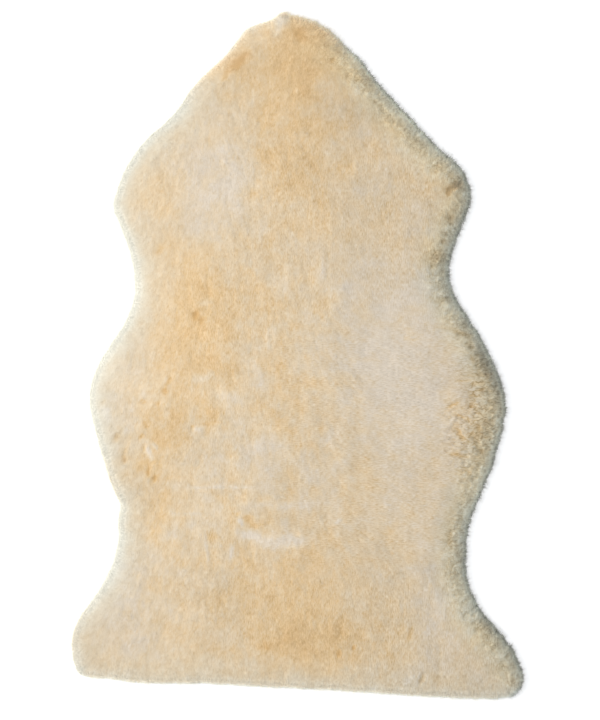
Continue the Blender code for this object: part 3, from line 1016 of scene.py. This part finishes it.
def wool_material(name, bump=0.0):
    material = bpy.data.materials.new(name)
    material.use_nodes = True
    nodes, links = material.node_tree.nodes, material.node_tree.links
    shader = nodes["Principled BSDF"]
    shader.inputs["Specular IOR Level"].default_value = 0.2
    shader.inputs["Sheen Weight"].default_value = 0.15
    shader.inputs["Sheen Roughness"].default_value = 0.5

    def add(kind, **settings):
        node = nodes.new(kind)
        for key, value in settings.items():
            setattr(node, key, value)
        return node

    def read(key):
        return add("ShaderNodeAttribute", attribute_name=key).outputs["Fac"]

    def math_(operation, a, b):
        node = add("ShaderNodeMath", operation=operation)
        for k, value in enumerate((a, b)):
            if isinstance(value, (int, float)):
                node.inputs[k].default_value = value
            else:
                links.new(value, node.inputs[k])
        return node.outputs[0]

    def noise(scale, detail):
        place = add("ShaderNodeTexCoord").outputs["Object"]
        node = add("ShaderNodeTexNoise")
        node.inputs["Scale"].default_value = scale
        node.inputs["Detail"].default_value = detail
        links.new(place, node.inputs["Vector"])
        return node.outputs["Fac"]

    def vector(operation, a, b):
        node = add("ShaderNodeVectorMath", operation=operation)
        for k, value in enumerate((a, b)):
            if isinstance(value, tuple):
                node.inputs[k].default_value = value
            else:
                links.new(value, node.inputs[k])
        return node.outputs[0]

    def streaks(wide, long_):
        """Grain of that size in mm across and along, about -0.5 to 0.5."""
        node = add("ShaderNodeTexNoise", noise_dimensions="2D")
        node.inputs["Scale"].default_value = 1.0
        node.inputs["Detail"].default_value = 1.0
        size = (1000 / wide, 1000 / long_, 0.0)
        links.new(vector("MULTIPLY", spot, size), node.inputs["Vector"])
        return math_("SUBTRACT", node.outputs["Fac"], 0.5)

    def partings(wide, long_, thin):
        """1 on the dark lines between wavy tufts of that size, 0 off them."""
        node = add("ShaderNodeTexVoronoi", voronoi_dimensions="2D")
        node.feature = "DISTANCE_TO_EDGE"
        node.inputs["Scale"].default_value = 1.0
        size = (1000 / wide, 1000 / long_, 0.0)
        links.new(vector("MULTIPLY", waved, size), node.inputs["Vector"])
        line = add("ShaderNodeMapRange", interpolation_type="SMOOTHSTEP")
        links.new(node.outputs["Distance"], line.inputs["Value"])
        line.inputs["From Max"].default_value = thin
        line.inputs["To Min"].default_value = 1.0
        line.inputs["To Max"].default_value = 0.0
        return line.outputs["Result"]

    spot = add("ShaderNodeTexCoord").outputs["Object"]
    wave = add("ShaderNodeTexNoise", noise_dimensions="2D")
    wave.inputs["Scale"].default_value = 95.0
    wave.inputs["Detail"].default_value = 2.0
    links.new(spot, wave.inputs["Vector"])
    shift = vector("SUBTRACT", wave.outputs["Color"], (0.5, 0.5, 0.5))
    waved = vector("ADD", spot, vector("MULTIPLY", shift, (0.012, 0.012, 0.0)))

    # Grain as fine as the wool, upright or level with the way it is combed.
    level = read("level")
    upright = math_("SUBTRACT", 1.0, level)
    fleck = math_("MULTIPLY", streaks(1.45, 5.5), upright)
    fleck = math_("ADD", fleck, math_("MULTIPLY", streaks(5.5, 1.45), level))
    fleck = math_("MULTIPLY", fleck, read("grain"))
    lines = math_("MULTIPLY", partings(17.0, 4.6, 0.17), read("strand"))
    split = math_("MULTIPLY", partings(5.6, 5.0, 0.20), read("nub"))
    lines = math_("ADD", lines, math_("MULTIPLY", split, 0.75))
    warmth = math_("ADD", read("warmth"), math_("MULTIPLY", fleck, GRAIN_TONE))
    warmth = math_("ADD", warmth, math_("MULTIPLY", lines, LINE_TONE))
    share = math_("MULTIPLY", math_("ADD", warmth, 1.0), 1.0 / 3.0)
    ramp = add("ShaderNodeValToRGB")
    stops = ramp.color_ramp.elements
    stops[0].position, stops[0].color = 0.0, CREAM
    stops[1].position, stops[1].color = 1.0, TAN
    for position, colour in ((1 / 3, MIDDLE), (2 / 3, HONEY)):
        stops.new(position).color = colour
    links.new(share, ramp.inputs["Fac"])
    pale = add("ShaderNodeMix", data_type="RGBA")
    links.new(read("edge"), pale.inputs["Factor"])
    links.new(ramp.outputs["Color"], pale.inputs[6])
    pale.inputs[7].default_value = EDGE
    # The grey-green cast of the right edge, where shade falls: painted shade.
    cool = add("ShaderNodeMix", data_type="RGBA", blend_type="MULTIPLY")
    links.new(read("shade_tint"), cool.inputs["Factor"])
    links.new(pale.outputs[2], cool.inputs[6])
    cool.inputs[7].default_value = (0.97, 0.998, 0.97, 1)
    shade = add("ShaderNodeVectorMath", operation="SCALE")
    links.new(cool.outputs[2], shade.inputs[0])
    lit = math_("ADD", read("light"), math_("MULTIPLY", fleck, GRAIN_LIGHT))
    # Lines between tufts and nubs are painted darker: painted shade in the partings.
    lit = math_("SUBTRACT", lit, math_("MULTIPLY", lines, PARTING_SHADE))
    links.new(lit, shade.inputs["Scale"])
    links.new(shade.outputs[0], shader.inputs["Base Color"])
    rough = math_("ADD", math_("MULTIPLY", noise(160.0, 2.0), 0.16), 0.80)
    links.new(rough, shader.inputs["Roughness"])
    if bump:
        node = add("ShaderNodeBump")
        node.inputs["Strength"].default_value = bump
        node.inputs["Distance"].default_value = 0.0006
        links.new(noise(700.0, 3.0), node.inputs["Height"])
        links.new(node.outputs[0], shader.inputs["Normal"])
    return material


def hide_material():
    """Suede: the flesh side of the skin, with its nap, pores and stains."""
    material = bpy.data.materials.new("suede")
    material.use_nodes = True
    nodes, links = material.node_tree.nodes, material.node_tree.links
    shader = nodes["Principled BSDF"]
    shader.inputs["Roughness"].default_value = 0.92
    shader.inputs["Specular IOR Level"].default_value = 0.2
    shader.inputs["Sheen Weight"].default_value = 0.2
    place = nodes.new("ShaderNodeTexCoord").outputs["Object"]

    def noise(scale, detail):
        node = nodes.new("ShaderNodeTexNoise")
        node.inputs["Scale"].default_value = scale
        node.inputs["Detail"].default_value = detail
        links.new(place, node.inputs["Vector"])
        return node.outputs["Fac"]

    ramp = nodes.new("ShaderNodeValToRGB")
    stops = ramp.color_ramp.elements
    stops[0].position, stops[0].color = 0.30, (0.60, 0.50, 0.37, 1)
    stops[1].position, stops[1].color = 0.70, (0.74, 0.66, 0.53, 1)
    mixed = nodes.new("ShaderNodeMix")
    mixed.inputs[0].default_value = 0.45
    links.new(noise(9.0, 5.0), mixed.inputs[2])
    links.new(noise(240.0, 4.0), mixed.inputs[3])
    links.new(mixed.outputs[0], ramp.inputs["Fac"])
    links.new(ramp.outputs["Color"], shader.inputs["Base Color"])
    bump = nodes.new("ShaderNodeBump")
    bump.inputs["Strength"].default_value = 0.5
    bump.inputs["Distance"].default_value = 0.0006
    links.new(noise(420.0, 5.0), bump.inputs["Height"])
    links.new(bump.outputs[0], shader.inputs["Normal"])
    return material


# ---------------------------------------------------------------- build
def turned(ax, ay, angle):
    c, s = np.cos(angle), np.sin(angle)
    return ax * c - ay * s, ax * s + ay * c


def interior_locks(spacing, inner):
    """Short straight locks, lying over in the nap, all over the top."""
    x, y, rng = scatter(spacing, 21, inner, 1e9)
    n = len(x)
    ax, ay = turned(NAP_X(x, y), NAP_Y(x, y), rng.normal(0, 0.20, n))
    normal = slope(x, y)
    flat = np.stack([ax, ay, np.zeros(n)], -1)
    flat = unit(flat - normal * (flat * normal).sum(-1, keepdims=True))
    length = rng.uniform(3.0, 4.8, n)
    # They lie flatter on the right flank, where they are combed outward.
    lain = across_of(x, y)
    stand = rng.normal(LOCK_STAND, 0.25, n) * (1 - 0.6 * lain)
    root = np.stack([x, y, wool_top(x, y)], -1)
    root = root - normal * (core_low(x, y) + 0.35 - 0.35 * lain)[:, None]
    root = root - flat * (length * 0.5)[:, None]
    tip = root + flat * length[:, None] + normal * stand[:, None]
    width = rng.uniform(0.7, 1.15, n)
    twist = rng.normal(0, 0.15, n)
    p, f, lift = straight(root, tip, normal, width, twist, LOCK_THICK)
    return p, f, lift, rng, y


LOCK_STAND, LOCK_THICK = 1.35, 0.25
LOCK_SPACING = 1.85
INNER = 12.0


def rounded(points, normal):
    """Normals of the edge, lying further back where it isn't on the right."""
    x, y = points[:, 0], points[:, 1]
    plump = 2.6 * smooth(0.6, 0.1, roundness(x, y)) * smooth(36, 7, DEPTH(x, y))
    return unit(normal + np.array([0.0, 0.0, 1.0]) * plump[:, None])


def edge_locks(spacing, inner):
    """Longer locks that bend over the rim, drawn together in fingers."""
    x, y, rng = scatter(spacing, 22, 1.4, inner)
    n = len(x)
    d = DEPTH(x, y)
    ox, oy = OUT_X(x, y), OUT_Y(x, y)
    ax, ay = turned(NAP_X(x, y), NAP_Y(x, y), rng.normal(0, 0.34, n))
    normal = slope(x, y, 1.2)
    flat = np.stack([ax, ay, np.zeros(n)], -1)
    flat = unit(flat - normal * (flat * normal).sum(-1, keepdims=True))
    length = np.interp(d, [0, 4, 10, 18], [3.4, 4.4, 5.0, 4.6])
    length = length * rng.uniform(0.85, 1.15, n)
    stand = rng.normal(0.22, 0.05, n)
    direction = unit(flat + normal * stand[:, None])
    root = np.stack([x, y, wool_top(x, y)], -1)
    root = root - normal * (core_low(x, y) + 0.5)[:, None]
    root = root - flat * (length * 0.25)[:, None]
    bend = normal * rng.normal(-0.22, 0.10, n)[:, None]
    round_ = np.stack([-oy, ox, 0 * ox], -1)
    bend = bend + round_ * rng.normal(0, 0.10, n)[:, None]
    _, aside, apart = fingers(x, y)
    pull = (aside * apart)[:, None] * round_
    root = root + 0.30 * pull
    direction = unit(direction + 0.045 * pull)
    bend = bend + 0.06 * pull
    width = rng.uniform(0.8, 1.3, n)
    twist = rng.normal(0, 0.2, n)
    p, f, lift = bent(root, direction, bend, length, normal, width, twist, 0.3)
    return p, f, lift, rng, rounded(p, slope(p[:, 0], p[:, 1], 1.5))


# The wall of wool round the rim, row by row: height, inset, outward and upward
# part of the locks' lie, their length, and how far up the wall faces, in
# degrees.
SKIRT_ROWS = (
    (18.2, 4.6, 0.50, -0.48, 4.8, 52),
    (16.2, 4.3, 0.56, -0.52, 5.0, 42),
    (14.0, 4.2, 0.62, -0.54, 5.2, 32),
    (11.8, 4.2, 0.68, -0.54, 5.4, 22),
    (9.6, 4.4, 0.76, -0.54, 5.4, 12),
    (7.4, 4.8, 0.84, -0.48, 5.4, 2),
    (5.4, 5.6, 0.90, -0.40, 5.4, -10),
    (3.6, 6.8, 0.95, -0.24, 5.4, -25),
)


def skirt_locks(spacing=2.2):
    """Locks of the rim, that hang out and down to the floor."""
    rng = np.random.default_rng(23)
    points, faces, lifts, evens, base = [], [], [], [], 0
    count = int(ROUND / spacing)
    for k, (height, inset, out, down, long_, facing_) in enumerate(SKIRT_ROWS):
        s = (np.arange(count) + (k % 2) * 0.5 + rng.uniform(-0.4, 0.4, count)) * spacing
        s = s % ROUND
        x = np.interp(s, SKIRT_ALONG, SKIRT[:, 0], period=ROUND)
        y = np.interp(s, SKIRT_ALONG, SKIRT[:, 1], period=ROUND)
        ox, oy = OUT_X(x, y), OUT_Y(x, y)
        right = smooth(-0.15, 0.75, ox)
        inset = inset + rng.normal(0, 0.3, count)
        z = height + rng.normal(0, 0.5, count)
        root = np.stack([x - ox * inset, y - oy * inset, z], -1)
        z = np.minimum(z, wool_top(root[:, 0], root[:, 1]) - 2.0 - 0.6 * right)
        root[:, 2] = z
        outward = np.stack([ox, oy, 0 * ox], -1)
        sideways = np.stack([-oy, ox, 0 * ox], -1)
        direction = outward * (out + rng.normal(0, 0.08, count))[:, None]
        direction = direction + sideways * rng.normal(0, 0.16, count)[:, None]
        direction[:, 2] = down + rng.normal(0, 0.08, count)
        direction = unit(direction)
        length = long_ * rng.uniform(0.85, 1.12, count)
        room = (z - 0.5) / np.maximum(-direction[:, 2], 0.05)
        length = np.minimum(length, room)
        bend = np.zeros((count, 3))
        bend[:, 2] = rng.normal(-0.10, 0.12, count) * np.minimum(1, z / 6)
        plump = smooth(0.6, 0.1, roundness(x, y))
        level = np.interp(height, [3, 18], [55, 80])
        tilt = np.radians(facing_ + plump * (level - facing_))[:, None]
        up = outward * np.cos(tilt) + np.array([0.0, 0.0, 1.0]) * np.sin(tilt)
        width = rng.uniform(0.9, 1.4, count)
        p, f, lift = bent(
            root, direction, bend, length, up, width, rng.normal(0, 0.2, count), 0.3
        )
        p[:, 2] = np.maximum(p[:, 2], 0.25)
        points.append(p)
        faces.append(f + base)
        lifts.append(lift)
        evens.append(np.repeat(up, 7, axis=0))
        base += len(p)
    joined = [np.concatenate(part) for part in (points, faces, lifts, evens)]
    return joined[0], joined[1], joined[2], rng, joined[3]


def stray_fibres(count=23000):
    """Single fibres that stand out past the rim, most of them on the right."""
    rng = np.random.default_rng(24)
    s = rng.uniform(0, ROUND, count)
    x = np.interp(s, SKIRT_ALONG, SKIRT[:, 0], period=ROUND)
    y = np.interp(s, SKIRT_ALONG, SKIRT[:, 1], period=ROUND)
    right = smooth(-0.2, 0.7, OUT_X(x, y))
    keep = rng.uniform(0, 1, count) < 0.70 + 0.30 * right
    x, y, right = x[keep], y[keep], right[keep]
    ox, oy = OUT_X(x, y), OUT_Y(x, y)
    n = len(x)
    inset = rng.uniform(1.0, 5.0, n)
    px_, py_ = x - ox * inset, y - oy * inset
    root = np.stack([px_, py_, np.minimum(wool_top(px_, py_) - 1.0, 20.0)], -1)
    root[:, 2] -= rng.uniform(0, 9, n)
    outward = np.stack([ox, oy, 0 * ox], -1)
    sideways = np.stack([-oy, ox, 0 * ox], -1)
    lean = (0.35 + 0.35 * rng.uniform(0, 1, n)) * rng.normal(0, 1, n)
    direction = outward + sideways * lean[:, None]
    direction[:, 2] = rng.normal(0.0, 0.30, n)
    direction = unit(direction)
    length = inset + rng.exponential(2.1 + 0.6 * right, n)
    length = np.minimum(length, inset + 9.0)
    up = np.tile([0.0, 0.0, 1.0], (n, 1))
    width = rng.uniform(0.22, 0.42, n)
    tip = root + direction * length[:, None]
    p, f, lift = straight(root, tip, up, width, rng.normal(0, 0.5, n), 0.6)
    p[:, 2] = np.maximum(p[:, 2], 0.25)
    raised = up * (1.6 - 1.2 * roundness(x, y))[:, None]
    return p, f, lift, rng, np.repeat(unit(outward + raised), 4, axis=0)


def hide_mesh(line):
    """The hide, a flat closed slab within the line that the wool ends on."""
    n = len(line)
    rows = ((0.35, 0.0), (0.0, 0.55), (0.0, 1.45), (0.35, 2.0))
    ox, oy = OUT_X(line[:, 0], line[:, 1]), OUT_Y(line[:, 0], line[:, 1])
    points = [
        np.stack([line[:, 0] - ox * a, line[:, 1] - oy * a, 0 * ox + z], -1)
        for a, z in rows
    ]
    faces = []
    for k in range(len(rows) - 1):
        low, high = k * n + np.arange(n), (k + 1) * n + np.arange(n)
        low_next, high_next = np.roll(low, -1), np.roll(high, -1)
        faces += [
            np.stack([low, low_next, high_next], -1),
            np.stack([low, high_next, high], -1),
        ]
    flat = [Vector((p[0], p[1], 0.0)) for p in points[0]]
    cap = np.array(geometry.tessellate_polygon([flat]))
    bottom = facing(points[0], cap, -1)
    top = facing(points[0], cap, 1) + (len(rows) - 1) * n
    return np.concatenate(points), np.concatenate(faces + [bottom, top])


def build():
    wool = wool_material("fleece", 0.3)
    lock = wool_material("wool locks")
    points, faces, line = core_mesh()
    rng = np.random.default_rng(20)
    lift = np.full(len(points), 0.0)
    core = mesh_object("fleece", points, faces, wool, dress(points, lift, rng, 1))
    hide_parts(NODE)
    pieces = []

    p, f, lift, rng, y = interior_locks(LOCK_SPACING, INNER)
    colour = dress(p, lift, rng, 4)
    even = rounded(p, slope(p[:, 0], p[:, 1], 2.0))
    cuts = np.quantile(y, [0, 0.25, 0.5, 0.75, 1.0])
    cuts[-1] += 1
    for k, place in enumerate(("rump", "belly", "waist", "neck")):
        mine = (y >= cuts[k]) & (y < cuts[k + 1])
        own = np.repeat(mine, 4)
        faces = np.tile(f[:4], (mine.sum(), 1)) + np.repeat(np.arange(mine.sum()), 4)[:, None] * 4
        pieces.append(
            mesh_object(
                "wool_" + place,
                p[own],
                faces,
                lock,
                {key: value[own] for key, value in colour.items()},
                even[own],
            )
        )
    for name, made, group in (
        ("wool_edge", edge_locks(1.75, INNER), 7),
        ("wool_rim", skirt_locks(), 7),
        ("stray_fibres", stray_fibres(), 4),
    ):
        p, f, lift, rng, even = made
        colour = dress(p, lift, rng, group)
        # Stray fibres are painted lighter where the edge is full and darker on the round right
        # edge: painted light and shade.
        if name == "stray_fibres":
            shaded = roundness(p[:, 0], p[:, 1])
            colour["light"] *= 1.14 - 0.62 * shaded
        pieces.append(mesh_object(name, p, f, lock, colour, even))

    points, faces = hide_mesh(line)
    hide = mesh_object("hide", points, faces, hide_material())
    total = 0
    for piece in [core, hide] + pieces:
        print(piece.name, len(piece.data.polygons))
        total += len(piece.data.polygons)
    print("triangles in all", total)


build()


# ---------------------------------------------------------------- the studio
KEY_ENERGY, KEY_RISE, FILL = 75.0, 40.0, 0.465
KEY_COLOUR, FILL_COLOUR = (1.0, 0.975, 0.95), (0.89, 0.985, 1.075)
KEY_REACH, KEY_SIZE = 2.6, 1.9
FLOOR_BASE, FLOOR_GLOW = 0.42, 0.80


def studio():
    bpy.ops.mesh.primitive_plane_add(size=14.0, location=(0, 0, 0))
    floor = bpy.context.object
    floor.name = "floor"
    material = bpy.data.materials.new("floor")
    material.use_nodes = True
    shader = material.node_tree.nodes["Principled BSDF"]
    shader.inputs["Base Color"].default_value = (FLOOR_BASE,) * 3 + (1,)
    shader.inputs["Roughness"].default_value = 0.9
    shader.inputs["Specular IOR Level"].default_value = 0.1
    shader.inputs["Emission Color"].default_value = (1, 1, 1, 1)
    shader.inputs["Emission Strength"].default_value = FLOOR_GLOW
    floor.data.materials.append(material)

    world = bpy.data.worlds.new("studio")
    world.use_nodes = True
    background = world.node_tree.nodes["Background"]
    background.inputs["Color"].default_value = FILL_COLOUR + (1,)
    background.inputs["Strength"].default_value = FILL
    bpy.context.scene.world = world

    light = bpy.data.lights.new("key", "AREA")
    light.shape = "DISK"
    light.size = KEY_SIZE
    light.energy = KEY_ENERGY
    light.color = KEY_COLOUR
    lamp = bpy.data.objects.new("key", light)
    rise_ = math.radians(KEY_RISE)
    lamp.location = (-KEY_REACH * math.cos(rise_), 0.0, KEY_REACH * math.sin(rise_))
    lamp.rotation_euler = Vector(lamp.location).to_track_quat("Z", "Y").to_euler()
    bpy.context.scene.collection.objects.link(lamp)

    camera = bpy.data.cameras.new("camera")
    camera.sensor_fit = "VERTICAL"
    camera.sensor_height = 24.0
    distance = 4.0
    camera.lens = camera.sensor_height * distance / (720 * PIXEL * MM)
    eye = bpy.data.objects.new("camera", camera)
    x, y = px(300, 360)
    eye.location = (x * MM, y * MM, distance + BULGE * MM)
    bpy.context.scene.collection.objects.link(eye)
    bpy.context.scene.camera = eye
    bpy.context.scene.view_settings.view_transform = "Standard"


studio()
